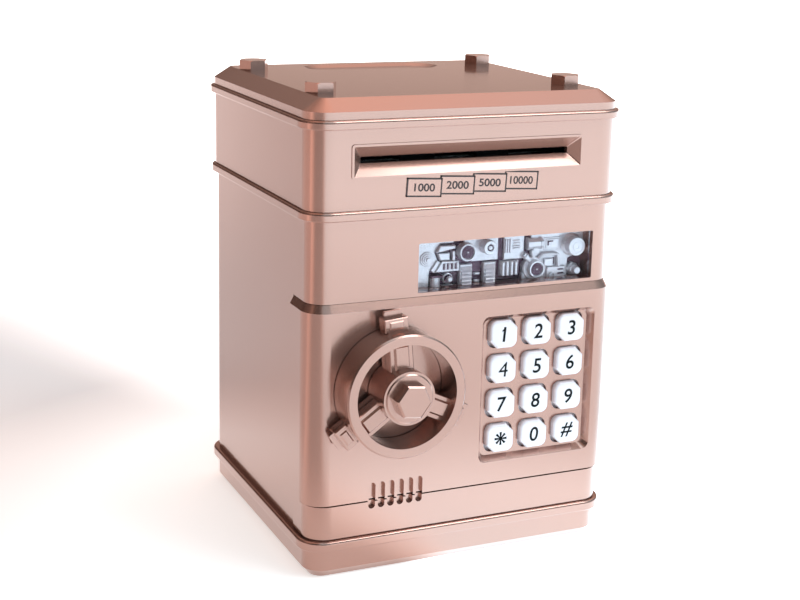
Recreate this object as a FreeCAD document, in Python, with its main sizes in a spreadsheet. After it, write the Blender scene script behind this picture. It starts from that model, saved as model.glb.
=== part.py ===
import FreeCAD, Part
import math
import os
import re
import Sketcher

# Toy safe coin bank, millimetres. +Z up, front towards -Y, +X to the right as seen from the front.
# The origin is the middle of the underside, on the surface that the bank stands on.

SIZES = {
    # case footprint and levels
    "body_w": 131.0, "body_d": 123.6, "corner": 9.0, "wall": 2.4, "gap": 0.3,
    "bead_out": 1.5, "bead_round": 1.1, "lower_in": 1.0, "lid_out": 0.3, "lid_bead_out": 1.9,
    "base_bevel": 3.2, "base_bevel_in": 2.7, "base_in": 0.9, "base_top": 11.7, "sill_low": 15.8,
    "floor_top": 30.0, "door_top": 109.6, "mid_low": 141.4, "mid_top": 145.0,
    "upper_top": 175.4, "lid_bead_top": 178.9, "lid_band_top": 181.8, "lid_top": 186.3,
    "lid_bevel_in": 6.7, "plate_low": 108.3, "plate_top": 111.2, "sill_back": 43.2,
    "sill_gap": 0.4,
    # door
    "door_half": 66.0, "door_face": 62.3, "seam_y": 41.7, "barrel_r": 4.0, "jamb": 7.5,
    "door_bevel": 3.0, "door_bevel_in": 1.6, "liner_back": 43.7, "liner_t": 1.8, "pin_r": 1.5,
    "pin_len": 7.0, "run_gap": 0.06,
    # wheel and latch
    "wheel_x": 31.3, "wheel_z": 75.5, "rim_out": 24.3, "rim_in": 20.4, "rim_front": 14.0,
    "wheel_gap": 0.5, "hub_r": 10.5, "hub_front": 15.5, "nut_across": 12.3, "nut_h": 4.9,
    "spoke_w": 9.5, "spoke_r": 29.5, "spoke_front": 6.2, "panel_w": 7.2, "panel_front": 7.6,
    "spindle_r": 3.0, "tongue_len": 29.7,
    "cam_r": 9.0, "notch_w": 4.6, "plunger_r": 1.9, "plunger_travel": 4.8,
    # keypad
    "pad_x": 31.75, "pad_z": 69.2, "pad_w": 50.5, "pad_h": 60.4, "pad_deep": 3.0, "pad_slope": 2.0,
    "key_w": 12.0, "key_h": 11.5, "key_r": 3.0, "key_dx": 15.2, "key_dz": 14.43, "key_x": 31.6,
    "key_z": 69.85, "key_front": 61.9, "key_gap": 0.25, "key_travel": 1.5, "key_cut": 3.3,
    "key_round": 1.1,
    # note slot, window, coin slot, vents
    "slot_x": 0.85, "slot_z": 163.1, "slot_w": 87.6, "slot_h": 2.5, "bezel_w": 97.3, "bezel_h": 13.0,
    "win_x": 17.05, "win_w": 76.3, "win_top": 130.5, "tunnel_back": 51.5,
    "coin_x": 2.5, "coin_y": 34.0, "coin_w": 38.0, "coin_h": 3.4, "coin_dish": 1.0, "coin_edge": 0.8,
    "vent_w": 2.8, "vent_dx": 4.0, "vent_x": 29.2, "vent_low": 26.7, "vent_top": 37.5,
    "vent_deep": 1.9,
    # note feed
    "feed_y": 44.0, "drive_z": 159.4, "pinch_z": 166.4, "roller_r": 3.3, "roller_x": 16.0, "shaft_r": 1.5,
    "gear_module": 0.5, "gear_teeth": 36, "pinion_teeth": 12, "frame_x": 51.0, "frame_t": 1.6,
    # battery compartment
    "cell_r": 7.1, "cell_len": 49.2, "cell_y": 30.5, "cell_dy": 15.0, "cell_z": 9.8, "bay_x": 30.5,
    "bay_y": 22.7, "bay_top": 18.0, "cover_t": 1.8, "cover_z": 0.3,
    # row of denomination plates
    "label_w": 15.1, "label_h": 7.6, "label_dx": 13.6, "label_z": 152.4,
    # fasteners
    "bolt_x": 52.6, "bolt_front": 37.3, "bolt_back": 41.0, "bolt_across": 10.8, "bolt_h": 3.9,
    "screw_r": 1.4, "post_r": 4.0,
}

DOC = FreeCAD.newDocument("SafeBank")
SHEET = DOC.addObject("Spreadsheet::Sheet", "Sizes")
NODES = []


def fill_sheet():
    """Write every driving dimension to the sheet and give its cell the same name."""
    for row, (name, size) in enumerate(SIZES.items(), start=1):
        SHEET.set(f"A{row}", name)
        SHEET.set(f"B{row}", str(size))
        SHEET.setAlias(f"B{row}", name)
    DOC.recompute()


def linked(text):
    """Turn a formula in alias names into one that points at the sheet."""
    return re.sub(r"[A-Za-z_]\w*", lambda m: f"Sizes.{m[0]}" if m[0] in SIZES else m[0], str(text))


def size(text):
    """The formula's present value."""
    return float(SHEET.evalExpression(linked(text)))


def bind(thing, **formulas):
    """Bind properties to formulas; a double underscore stands for a dot in the property's path."""
    for prop, formula in formulas.items():
        thing.setExpression(prop.replace("__", "."), linked(formula))
    return thing


def node(thing, label):
    thing.Label = label
    NODES.append(thing)
    return thing


# ---- PartDesign helpers -------------------------------------------------------------------------

TURN = {
    "x": FreeCAD.Rotation(FreeCAD.Vector(0, 1, 0), 90),
    "y": FreeCAD.Rotation(FreeCAD.Vector(1, 0, 0), -90),
    "z": FreeCAD.Rotation(),
}


def new_body(label, at=("0", "0", "0")):
    body = node(DOC.addObject("PartDesign::Body", label), label)
    return bind(body, Placement__Base__x=at[0], Placement__Base__y=at[1], Placement__Base__z=at[2])


def add_feature(body, kind, name, cut):
    """Add a primitive to the body, as material or as a cut."""
    return body.newObject(("PartDesign::Subtractive" if cut else "PartDesign::Additive") + kind, name)


def box(body, name, x, y, z, cut=False):
    """A box from pairs of formulas, low and high on each axis."""
    block = add_feature(body, "Box", name, cut)
    spans = [f"({high})-({low})" for low, high in (x, y, z)]
    return bind(block, Length=spans[0], Width=spans[1], Height=spans[2],
                Placement__Base__x=x[0], Placement__Base__y=y[0], Placement__Base__z=z[0])


def place_rod(rod, axis, at, span):
    """Lay a cylinder or prism along an axis: at is its place on the other two axes, in XYZ order."""
    rod.Placement = FreeCAD.Placement(FreeCAD.Vector(), TURN[axis])
    spots = list(at)
    spots.insert("xyz".index(axis), span[0])
    return bind(rod, Height=f"({span[1]})-({span[0]})", Placement__Base__x=spots[0],
                Placement__Base__y=spots[1], Placement__Base__z=spots[2])


def rod(body, name, axis, at, span, radius, cut=False):
    return bind(place_rod(add_feature(body, "Cylinder", name, cut), axis, at, span), Radius=radius)


def origin_plane(body, role):
    return next(item for item in body.Origin.OriginFeatures if item.Role == role)


def attach(body, name, plane, centre, level):
    """A sketch on an origin plane: level is its height along +Z, or its place on Y or X."""
    sketch = body.newObject("Sketcher::SketchObject", name)
    sketch.AttachmentSupport = (origin_plane(body, plane + "_Plane"), [""])
    sketch.MapMode = "FlatFace"
    along = f"-({level})" if plane == "XZ" else level
    return bind(sketch, AttachmentOffset__Base__x=centre[0], AttachmentOffset__Base__y=centre[1],
                AttachmentOffset__Base__z=along)


def rounded_sketch(body, name, plane, centre, width, height, radius, level):
    """A constrained rounded rectangle about the sketch's own origin."""
    sketch = attach(body, name, plane, centre, level)
    a, b, r = size(width) / 2, size(height) / 2, size(radius)
    ends = [(r - a, -b), (a - r, -b), (a, r - b), (a, b - r),
            (a - r, b), (r - a, b), (-a, b - r), (-a, r - b)]
    middles = [(a - r, r - b), (a - r, b - r), (r - a, b - r), (r - a, r - b)]
    quarter = math.pi / 2
    for side in range(4):
        start, stop = (FreeCAD.Vector(*ends[2 * side + k]) for k in (0, 1))
        circle = Part.Circle(FreeCAD.Vector(*middles[side]), FreeCAD.Vector(0, 0, 1), r)
        sketch.addGeometry(Part.LineSegment(start, stop))
        sketch.addGeometry(Part.ArcOfCircle(circle, (side - 1) * quarter, side * quarter))
    rule = Sketcher.Constraint
    for line in range(0, 8, 2):
        sketch.addConstraint(rule("Tangent", line, 2, line + 1, 1))
        sketch.addConstraint(rule("Tangent", line + 1, 2, (line + 2) % 8, 1))
        sketch.addConstraint(rule("Horizontal" if line % 4 == 0 else "Vertical", line))
        if line:
            sketch.addConstraint(rule("Equal", 1, line + 1))
    sized = [
        (rule("Radius", 1, r), radius),
        (rule("DistanceX", -1, 1, 2, 1, a), f"({width})/2"),
        (rule("DistanceY", 0, 1, -1, 1, b), f"({height})/2"),
        (rule("DistanceX", 6, 1, 2, 1, 2 * a), width),
        (rule("DistanceY", 0, 1, 4, 1, 2 * b), height),
    ]
    for constraint, formula in sized:
        sketch.setExpression(f"Constraints[{sketch.addConstraint(constraint)}]", linked(formula))
    return sketch


def slab(body, name, plane, centre, width, height, radius, span, cut=False):
    """A rounded plate between two levels of span, low and high, as a Pad or a Pocket."""
    level = span[1] if plane == "XZ" else span[0]
    sketch = rounded_sketch(body, name + "Outline", plane, centre, width, height, radius, level)
    feature = body.newObject("PartDesign::Pocket" if cut else "PartDesign::Pad", name)
    feature.Profile = sketch
    feature.Reversed = cut
    sketch.Visibility = False
    return bind(feature, Length=f"({span[1]})-({span[0]})")


def taper(body, name, plane, centre, outer, inner, radii, levels, cut=False):
    """A loft between two rounded outlines: outer and inner are (width, height) pairs."""
    sketches = [rounded_sketch(body, f"{name}Outline{k}", plane, centre, *pair, radii[k], levels[k])
                for k, pair in enumerate((outer, inner))]
    loft = add_feature(body, "Loft", name, cut)
    loft.Profile = sketches[0]
    loft.Sections = [sketches[1]]
    loft.Ruled = True
    return loft


def dress(body, kind, name, radius, picked):
    """Fillet or chamfer the body's edges that the picked() test accepts."""
    DOC.recompute()
    base = body.Tip
    names = [f"Edge{k}" for k, edge in enumerate(base.Shape.Edges, start=1) if picked(edge.BoundBox)]
    feature = body.newObject("PartDesign::" + kind, name)
    feature.Base = (base, names)
    return bind(feature, **{"Radius" if kind == "Fillet" else "Size": radius})


def level_edges(levels, reach):
    """Edges that lie flat at one of the levels and pass outside the half-width reach."""
    def picked(bounds):
        flat = bounds.ZLength < 1e-4 and any(abs(bounds.ZMin - size(z)) < 1e-4 for z in levels)
        wide = max(abs(bounds.XMin), abs(bounds.XMax)) > size(reach)
        deep = max(abs(bounds.YMin), abs(bounds.YMax)) > size(reach) - size("body_w-body_d") / 2
        return flat and (wide or deep)
    return picked


def front_edges(y, x_span, z_span):
    """Edges in the plane y inside a window of x and z."""
    def picked(bounds):
        flat = bounds.YLength < 1e-4 and abs(bounds.YMin - size(y)) < 1e-4
        across = bounds.XMin > size(x_span[0]) and bounds.XMax < size(x_span[1])
        return flat and across and bounds.ZMin > size(z_span[0]) and bounds.ZMax < size(z_span[1])
    return picked


# ---- Part helpers for simple and grouped pieces -------------------------------------------------

def part_rod(name, axis, at, span, radius):
    return bind(place_rod(DOC.addObject("Part::Cylinder", name), axis, at, span), Radius=radius)


def part_box(name, x, y, z):
    block = DOC.addObject("Part::Box", name)
    spans = [f"({high})-({low})" for low, high in (x, y, z)]
    return bind(block, Length=spans[0], Width=spans[1], Height=spans[2],
                Placement__Base__x=x[0], Placement__Base__y=y[0], Placement__Base__z=z[0])


def part_hex(name, axis, at, span, across):
    prism = DOC.addObject("Part::Prism", name)
    prism.Polygon = 6
    return bind(place_rod(prism, axis, at, span), Circumradius=f"({across})/sqrt(3)")


def join(label, pieces):
    fused = DOC.addObject("Part::MultiFuse", label)
    fused.Shapes = pieces
    return fused


def minus(label, base, tool):
    cut = DOC.addObject("Part::Cut", label)
    cut.Base, cut.Tool = base, tool
    return cut


def group(label, pieces):
    """Separate identical solids that share one node."""
    compound = DOC.addObject("Part::Compound", label)
    compound.Links = pieces
    return node(compound, label)


def ring_x(low, high):
    """The same band on both sides of the middle plane."""
    return ((low, high), (f"-({high})", f"-({low})"))


# ---- case ---------------------------------------------------------------------------------------

POSTS = [(sx, sy) for sx in (-1, 1) for sy in (-1, 1)]
POST_X, POST_Y = "body_w/2-14", "body_d/2-23"
BOLTS = [(f"{side}*bolt_x", y) for side in (-1, 1) for y in ("-bolt_front", "bolt_back")]
HINGE_X, HINGE_Y = "door_half-barrel_r", "-seam_y-barrel_r-gap"


def case_slab(body, name, out, span, cut=False):
    """A slab over the whole footprint, grown by out on every side."""
    return slab(body, name, "XY", ("0", "0"), f"body_w+2*({out})", f"body_d+2*({out})",
                f"corner+({out})", span, cut)


def bead_rounds(body, levels, reach):
    """A full round on the upper edge of a bead and a small one on its lower edge."""
    dress(body, "Fillet", "BeadTop", "bead_round", level_edges(levels[1:], reach))
    dress(body, "Fillet", "BeadUnder", "bead_round/2", level_edges(levels[:1], reach))


def base_tray():
    body = new_body("base_tray")
    taper(body, "Bevel", "XY", ("0", "0"),
          ("body_w-2*(base_in+base_bevel_in)", "body_d-2*(base_in+base_bevel_in)"),
          ("body_w-2*base_in", "body_d-2*base_in"), ("corner-base_in-base_bevel_in", "corner-base_in"),
          ("0", "base_bevel"))
    case_slab(body, "Wall", "-base_in", ("base_bevel", "base_top"))
    case_slab(body, "Step", "-base_in/2", ("base_top-1.6", "base_top"))
    case_slab(body, "Bead", "bead_out", ("base_top", "sill_low"))
    bead_rounds(body, ("base_top", "sill_low"), "body_w/2+0.2")
    case_slab(body, "Hollow", "-wall-base_in", ("wall", "sill_low+1"), cut=True)
    bay = (("-bay_x-wall", "bay_x+wall"), ("cell_y-bay_y-wall", "cell_y+bay_y+wall"))
    box(body, "BayWalls", *bay, ("1", "bay_top+wall"))
    box(body, "Bay", ("-bay_x", "bay_x"), ("cell_y-bay_y", "cell_y+bay_y"), ("-1", "bay_top"), cut=True)
    box(body, "CoverLug", ("-4", "4"), ("cell_y-bay_y-7", "cell_y-bay_y"), ("0", "9"))
    box(body, "CoverRebate", ("-bay_x-1.2", "bay_x+1.2"), ("cell_y-bay_y-1.2", "cell_y+bay_y+1.2"),
        ("-1", "cover_z+cover_t"), cut=True)
    box(body, "CoverTabSeat", ("-3.6", "3.6"), ("cell_y-bay_y-6.6", "cell_y-bay_y"),
        ("-1", "cover_z+cover_t"), cut=True)
    rod(body, "CoverScrewHole", "z", ("0", "cell_y-bay_y-3.4"), ("0", "8"), "screw_r+0.05", cut=True)
    for k, (sx, sy) in enumerate(POSTS):
        at = (f"{sx}*({POST_X})", f"{sy}*({POST_Y})")
        rod(body, f"Boss{k}", "z", at, ("1", "8"), "post_r+1")
        rod(body, f"HeadWell{k}", "z", at, ("-1", "6"), "3.2", cut=True)
        rod(body, f"ScrewHole{k}", "z", at, ("5", "9"), "screw_r+0.2", cut=True)


def battery_cover():
    body = new_body("battery_cover")
    span = ("cover_z", "cover_z+cover_t-0.1")
    box(body, "Plate", ("-bay_x-0.9", "bay_x+0.9"), ("cell_y-bay_y-0.9", "cell_y+bay_y+0.9"), span)
    box(body, "Tab", ("-3.3", "3.3"), ("cell_y-bay_y-6.3", "cell_y-bay_y"), span)
    rod(body, "ScrewHole", "z", ("0", "cell_y-bay_y-3.4"), ("-1", "4"), "screw_r+0.15", cut=True)
    rod(body, "HeadSeat", "z", ("0", "cell_y-bay_y-3.4"), ("-1", "cover_z+1"), "2.6", cut=True)
    for k in range(7):
        low = f"cell_y-9+{3 * k}"
        box(body, f"GripGroove{k}", ("-9", "9"), (low, f"{low}+1.2"), ("-1", "cover_z+0.5"), cut=True)


def battery_cover_screw():
    at = ("0", "cell_y-bay_y-3.4")
    head = part_rod("CoverScrewHead", "z", at, ("cover_z+0.1", "cover_z+1"), "2.4")
    shank = part_rod("CoverScrewShank", "z", at, ("cover_z+0.1", "7.6"), "screw_r")
    return head, shank


def aa_cells():
    cells = []
    for k in (-1, 0, 1):
        at = (f"cell_y+{k}*cell_dy", "cell_z")
        can = part_rod(f"CellCan{k + 1}", "x", at, ("-cell_len/2", "cell_len/2"), "cell_r")
        tip = 1 if k % 2 else -1
        ends = sorted((f"{tip}*(cell_len/2-1)", f"{tip}*(cell_len/2+1.2)"), key=size)
        nub = part_rod(f"CellNub{k + 1}", "x", at, ends, "2.6")
        cells.append(join(f"Cell{k + 1}", [can, nub]))
    group("aa_cells", cells)


def battery_contacts():
    plates = []
    for k in (-1, 0, 1):
        for end in (-1, 1):
            y = f"cell_y+{k}*cell_dy"
            faces = sorted((f"{end}*(bay_x-0.1)", f"{end}*(bay_x-0.6)"), key=size)
            plate = part_box(f"Contact{k + 1}{end + 1}", faces, (f"{y}-5", f"{y}+5"),
                             ("cell_z-5", "cell_z+5"))
            positive = end == (1 if k % 2 else -1)
            reach = "cell_len/2+1.3" if positive else "cell_len/2+0.1"
            stub = sorted((f"{end}*(bay_x-0.4)", f"{end}*({reach})"), key=size)
            spring = part_rod(f"Spring{k + 1}{end + 1}", "x", (y, "cell_z"), stub, "2" if positive else "3.4")
            plates.append(join(f"ContactPair{k + 1}{end + 1}", [plate, spring]))
    group("battery_contacts", plates)


def base_screws():
    screws = []
    for k, (sx, sy) in enumerate(POSTS):
        at = (f"{sx}*({POST_X})", f"{sy}*({POST_Y})")
        head = part_rod(f"BaseHead{k}", "z", at, ("4", "6"), "2.9")
        shank = part_rod(f"BaseShank{k}", "z", at, ("4", "20"), "screw_r")
        screws.append(join(f"BaseScrew{k}", [head, shank]))
    group("base_screws", screws)


def lower_housing():
    body = new_body("lower_housing")
    case_slab(body, "Shell", "-lower_in", ("sill_low", "mid_low"))
    case_slab(body, "BaseRoom", "-lower_in-wall", ("sill_low-1", "floor_top-wall"), cut=True)
    case_slab(body, "CashRoom", "-lower_in-wall", ("floor_top", "plate_low"), cut=True)
    case_slab(body, "WorksRoom", "-lower_in-wall", ("plate_top", "mid_low+1"), cut=True)
    wide, front = ("-body_w", "body_w"), "-body_d"
    box(body, "DoorWay", wide, (front, "-seam_y"), ("floor_top-0.2", "door_top+0.2"), cut=True)
    box(body, "SillWay", wide, (front, "-sill_back"), ("0", "floor_top+1"), cut=True)
    for k, band in enumerate(ring_x("body_w/2-lower_in-jamb", "body_w/2-lower_in-1")):
        box(body, f"Jamb{k}", band, ("-seam_y", "-seam_y+2.2"), ("floor_top-1", "plate_low+1"))
        box(body, f"FrameLedge{k}", (band[0], band[1]), ("-56", "-28"), ("134", "139"))
    box(body, "NoteDrop", ("-48", "48"), ("-26", "26"), ("plate_low-1", "plate_top+1"), cut=True)
    box(body, "CoinDrop", ("-coin_x-20.4", "-coin_x+20.4"), ("coin_y-3", "coin_y+3"),
        ("plate_low-1", "plate_top+1"), cut=True)
    hinge_block(body, "UpperHinge", ("door_top+0.2", "door_top+pin_len"))
    hinge_block(body, "LowerHinge", ("sill_low+0.1", "floor_top"))
    window_tunnel(body)
    for k, (sx, sy) in enumerate(POSTS):
        at = (f"{sx}*({POST_X})", f"{sy}*({POST_Y})")
        rod(body, f"Post{k}", "z", at, ("8.1", "floor_top-1"), "post_r")
        rod(body, f"PostBore{k}", "z", at, ("7", "21"), "screw_r+0.05", cut=True)


def hinge_block(body, name, span):
    """The block that holds one hinge pin, above or below the door's barrel."""
    x_band = (f"{HINGE_X}-4.5", "body_w/2-lower_in")
    box(body, name, x_band, ("-seam_y-barrel_r-4.3", "-seam_y+0.5"), span)
    rod(body, name + "Bore", "z", (HINGE_X, HINGE_Y), span, "pin_r+0.02", cut=True)


def window_tunnel(body):
    """The window's opening, with walls that run back to the relief panel."""
    middle = ("win_x", "(win_top+plate_top)/2")
    tall = "win_top-plate_top"
    box(body, "Tunnel", ("win_x-win_w/2-1.2", "win_x+win_w/2+1.2"), ("-body_d/2+lower_in+1", "-tunnel_back"),
        ("plate_top-0.8", "win_top+1.2"))
    slab(body, "Window", "XZ", middle, "win_w", tall, "0.6", ("-body_d", "-tunnel_back+5"), cut=True)


def front_sill():
    body = new_body("front_sill")
    slab(body, "Shell", "XY", ("0", "0"), "body_w-1.2", "2*(door_face-0.3)", "corner",
         ("sill_low+0.6", "floor_top-sill_gap"))
    slab(body, "Foot", "XY", ("0", "0"), "body_w-3.2", "2*(door_face-1.3)", "corner-1",
         ("sill_low+0.05", "sill_low+0.7"))
    slab(body, "Hollow", "XY", ("0", "0"), "body_w-1.2-2*wall", "2*(door_face-0.3-wall)", "corner-wall",
         ("0", "floor_top-sill_gap-wall"), cut=True)
    wide = ("-body_w", "body_w")
    box(body, "Back", wide, ("-sill_back-2*sill_gap", "body_d"), ("0", "floor_top+1"), cut=True)
    box(body, "HingeNotch", ("door_half-barrel_r-4.8", "body_w"),
        ("-seam_y-barrel_r-4.6", "body_d"), ("0", "floor_top+1"), cut=True)
    vents(body, "-door_face+0.3")


def vents(body, face):
    """Six blind sound slots that run on across the joint between door and sill."""
    for k in range(6):
        x = f"-vent_x+({2 * k - 5})*vent_dx/2"
        slab(body, f"Vent{k}", "XZ", (x, "(vent_low+vent_top)/2"), "vent_w", "vent_top-vent_low",
             "vent_w/2-0.01", ("-body_d", f"{face}+vent_deep"), cut=True)


def upper_housing():
    body = new_body("upper_housing")
    case_slab(body, "Bead", "bead_out", ("mid_low", "mid_top"))
    case_slab(body, "Shell", "0", ("mid_top", "upper_top"))
    bead_rounds(body, ("mid_low", "mid_top"), "body_w/2+0.2")
    case_slab(body, "Hollow", "-wall", ("mid_low-1", "upper_top+1"), cut=True)
    slab(body, "BezelHole", "XZ", ("-slot_x", "slot_z+0.15"), "bezel_w-1.6", "bezel_h-1.6", "0.8",
         ("-body_d", "-body_d/2+wall+1"), cut=True)
    for k, at in enumerate(BOLTS):
        rod(body, f"BoltPost{k}", "z", at, ("upper_top-3.5", "upper_top+3"), "post_r")
        side = -1 if size(at[0]) < 0 else 1
        web = sorted((at[0], f"{side}*(body_w/2-1)"), key=size)
        box(body, f"BoltWeb{k}", web, (f"{at[1]}-1", f"{at[1]}+1"), ("upper_top-3.5", "upper_top"))
        rod(body, f"BoltBore{k}", "z", at, ("upper_top-2.5", "upper_top+6"), "screw_r+0.05", cut=True)


def top_lid():
    body = new_body("top_lid")
    case_slab(body, "Bead", "lid_bead_out", ("upper_top", "lid_bead_top"))
    case_slab(body, "Band", "lid_out", ("lid_bead_top", "lid_band_top"))
    bead_rounds(body, ("upper_top", "lid_bead_top"), "body_w/2+lid_out+0.2")
    taper(body, "Bevel", "XY", ("0", "0"), ("body_w+2*lid_out", "body_d+2*lid_out"),
          ("body_w+2*lid_out-2*lid_bevel_in", "body_d+2*lid_out-2*lid_bevel_in"),
          ("corner+lid_out", "corner+lid_out-lid_bevel_in"), ("lid_band_top", "lid_top"))
    case_slab(body, "Hollow", "-wall", ("upper_top-1", "lid_bead_top"), cut=True)
    case_slab(body, "UpperHollow", "-lid_bevel_in-2", ("lid_bead_top", "lid_top-wall"), cut=True)
    middle = ("-coin_x+3", "coin_y+5.5")
    taper(body, "Dish", "XY", middle, ("61", "21"), ("55", "15"), ("10.4", "7.4"),
          ("lid_top", "lid_top-coin_dish"), cut=True)
    slab(body, "CoinSlot", "XY", ("-coin_x", "coin_y"), "coin_w", "coin_h", "0.6",
         ("lid_top-wall-1", "lid_top+1"), cut=True)
    edge = box(body, "CoinEdge", ("-coin_x-coin_w/2+1", "-coin_x+coin_w/2-1"), ("0", "coin_edge*sqrt(2)"),
               ("0", "coin_edge"), cut=True)
    edge.Placement.Rotation = FreeCAD.Rotation(FreeCAD.Vector(1, 0, 0), 45)
    bind(edge, Placement__Base__y="coin_y+coin_h/2", Placement__Base__z="lid_top-coin_dish-coin_edge")
    for k, at in enumerate(BOLTS):
        rod(body, f"BoltBoss{k}", "z", at, ("upper_top+3.1", "lid_top-1"), "post_r")
        rod(body, f"BoltHole{k}", "z", at, ("upper_top+2", "lid_top+1"), "screw_r+0.2", cut=True)


def lid_bolts():
    """Hexagon heads; a wide cone trims their upper corners."""
    bolts = []
    for k, at in enumerate(BOLTS):
        head = part_hex(f"BoltHead{k}", "z", at, ("lid_top", "lid_top+bolt_h"), "bolt_across")
        trim = DOC.addObject("Part::Cone", f"BoltTrim{k}")
        bind(trim, Radius1="bolt_across*0.53+bolt_h*1.7", Radius2="bolt_across*0.53", Height="bolt_h",
             Placement__Base__x=at[0], Placement__Base__y=at[1], Placement__Base__z="lid_top")
        common = DOC.addObject("Part::MultiCommon", f"BoltTop{k}")
        common.Shapes = [head, trim]
        shank = part_rod(f"BoltShank{k}", "z", at, ("upper_top-2", "lid_top+1"), "screw_r")
        bolts.append(join(f"Bolt{k}", [common, shank]))
    group("lid_bolts", bolts)


def coin_chute():
    body = new_body("coin_chute")
    middle = ("-coin_x", "coin_y")
    low, high = "plate_top", "lid_top-wall-0.1"
    slab(body, "Foot", "XY", middle, "coin_w+12", "14", "2", (low, f"{low}+1.5"))
    slab(body, "Duct", "XY", middle, "coin_w+4.4", "8.4", "1.5", (low, high))
    slab(body, "Way", "XY", middle, "coin_w+2", "6", "0.6", (f"{low}-1", f"{high}+1"), cut=True)


def note_slot_bezel():
    body = new_body("note_slot_bezel")
    middle, face = ("-slot_x", "slot_z+0.15"), "-body_d/2"
    slab(body, "Lip", "XZ", middle, "bezel_w", "bezel_h", "1.2", (f"{face}-0.45", face))
    slab(body, "Block", "XZ", middle, "bezel_w-1.8", "bezel_h-1.8", "0.8", (face, f"{face}+6"))
    taper(body, "Mitre", "XZ", middle, ("bezel_w-1.8", "bezel_h-1.8"), ("slot_w", "slot_h"), ("0.5", "0.3"),
          (f"{face}-0.45", f"{face}+3.6"), cut=True)
    slab(body, "Slot", "XZ", middle, "slot_w", "slot_h", "0.3", (f"{face}+3", f"{face}+7"), cut=True)


def denomination_label():
    """Four thin plates, each laid a little over the one before and turned a little."""
    plates = []
    for k in range(4):
        plate = part_box(f"Plate{k}", ("-label_w/2", "label_w/2"), ("-0.15", "0.3"),
                         ("-label_h/2", "label_h/2"))
        turned = DOC.addObject("Part::Compound", f"Turned{k}")
        turned.Links = [plate]
        turned.Placement.Rotation = FreeCAD.Rotation(FreeCAD.Vector(0, 1, 0), 2.7)
        plates.append(bind(turned, Placement__Base__x=f"({2 * k - 3})*label_dx/2",
                           Placement__Base__y=f"-body_d/2-0.04*{k}", Placement__Base__z="label_z"))
    fused = join("Plates", plates)
    wall = part_box("PlateWall", ("-body_w/2+corner", "body_w/2-corner"), ("-body_d/2", "0"),
                    ("mid_top", "upper_top"))
    node(minus("denomination_label", fused, wall), "denomination_label")


def window_pane():
    body = new_body("window_pane")
    middle = ("win_x", "(win_top+plate_top)/2")
    face = "-body_d/2+lower_in"
    slab(body, "Pane", "XZ", middle, "win_w-0.2", "win_top-plate_top-0.2", "0.5",
         (f"{face}+2", f"{face}+3.2"))


def machinery_panel():
    """The moulded relief of make-believe works behind the window."""
    body = new_body("machinery_panel")
    middle = "(win_top+plate_top)/2"
    tall = "win_top-plate_top"
    box(body, "Plate", ("win_x-win_w/2-2", "win_x+win_w/2+2"), ("-tunnel_back", "-tunnel_back+1.6"),
        ("plate_top+0.1", "win_top+3"))
    face = "-tunnel_back+0.5"
    discs = [(-0.44, 0.1, 3.6, 4), (-0.2, 0.2, 5, 5), (-0.22, -0.28, 3.4, 4.4), (0.24, -0.12, 4.8, 5),
             (0.47, 0.18, 4.2, 5.2), (0.46, -0.33, 3.2, 4), (-0.35, -0.3, 2.4, 3.4)]
    for k, (u, v, radius, high) in enumerate(discs):
        at = (f"win_x+{u}*(win_w-8)", f"{middle}+{v}*({tall})")
        rod(body, f"Disc{k}", "y", at, (f"-tunnel_back-{high}", face), radius)
    blocks = [(-0.06, 0.05, 5, 12, 3.6), (0.06, 0.12, 8, 9, 3), (0.13, -0.3, 10, 5, 4),
              (0.34, 0.25, 7, 6, 3.4), (0.35, -0.25, 6, 7, 2.8), (-0.31, 0.3, 8, 4, 3)]
    for k, (u, v, width, height, high) in enumerate(blocks):
        slab(body, f"Block{k}", "XZ", (f"win_x+{u}*(win_w-8)", f"{middle}+{v}*({tall})"), width, height, 0.6,
             (f"-tunnel_back-{high}", face))


# ---- note feed ----------------------------------------------------------------------------------

GEAR_DROP = "gear_module*(gear_teeth+pinion_teeth)/2"
MOTOR_Y, MOTOR_Z = f"-feed_y+({GEAR_DROP})*sin(30)", f"drive_z-({GEAR_DROP})*cos(30)"
GEAR_SPAN = ("frame_x+frame_t+1", "frame_x+frame_t+4.5")


def feed_frame():
    body = new_body("feed_frame")
    box(body, "Base", ("-frame_x-frame_t-7", "frame_x+frame_t+7"), ("-54", "-30"), ("139", "139+frame_t"))
    for k, band in enumerate(ring_x("frame_x", "frame_x+frame_t")):
        box(body, f"Side{k}", band, ("-54", "-26"), ("139", "170.5"))
        for axle, z in enumerate(("drive_z", "pinch_z")):
            rod(body, f"Bearing{k}{axle}", "x", ("-feed_y", z), (f"{band[0]}-1", f"{band[1]}+1"),
                "shaft_r+run_gap", cut=True)
        for row in (-50, -34):
            x = f"({band[0]}+{band[1]})/2+({2 * k - 1})*-4.6"
            rod(body, f"EarHole{k}{row + 50}", "z", (x, row), ("138", "141"), "screw_r+0.2", cut=True)
    rod(body, "MotorHole", "x", (MOTOR_Y, MOTOR_Z), ("frame_x-1", "frame_x+frame_t+1"), "3.2", cut=True)


def feed_frame_screws():
    screws = []
    for k, side in enumerate((1, -1)):
        for row in (-50, -34):
            at = (f"{side}*(frame_x+frame_t/2+4.6)", row)
            head = part_rod(f"EarHead{k}{row + 50}", "z", at, ("139+frame_t", "142.2"), "2.5")
            shank = part_rod(f"EarShank{k}{row + 50}", "z", at, ("139.05", "141"), "screw_r")
            screws.append(join(f"EarScrew{k}{row + 50}", [head, shank]))
    group("feed_frame_screws", screws)


def feed_shaft(label, z, ends):
    """A plain steel shaft that turns in the frame's sides."""
    body = new_body(label)
    rod(body, "Shaft", "x", ("-feed_y", z), ends, "shaft_r")


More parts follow.
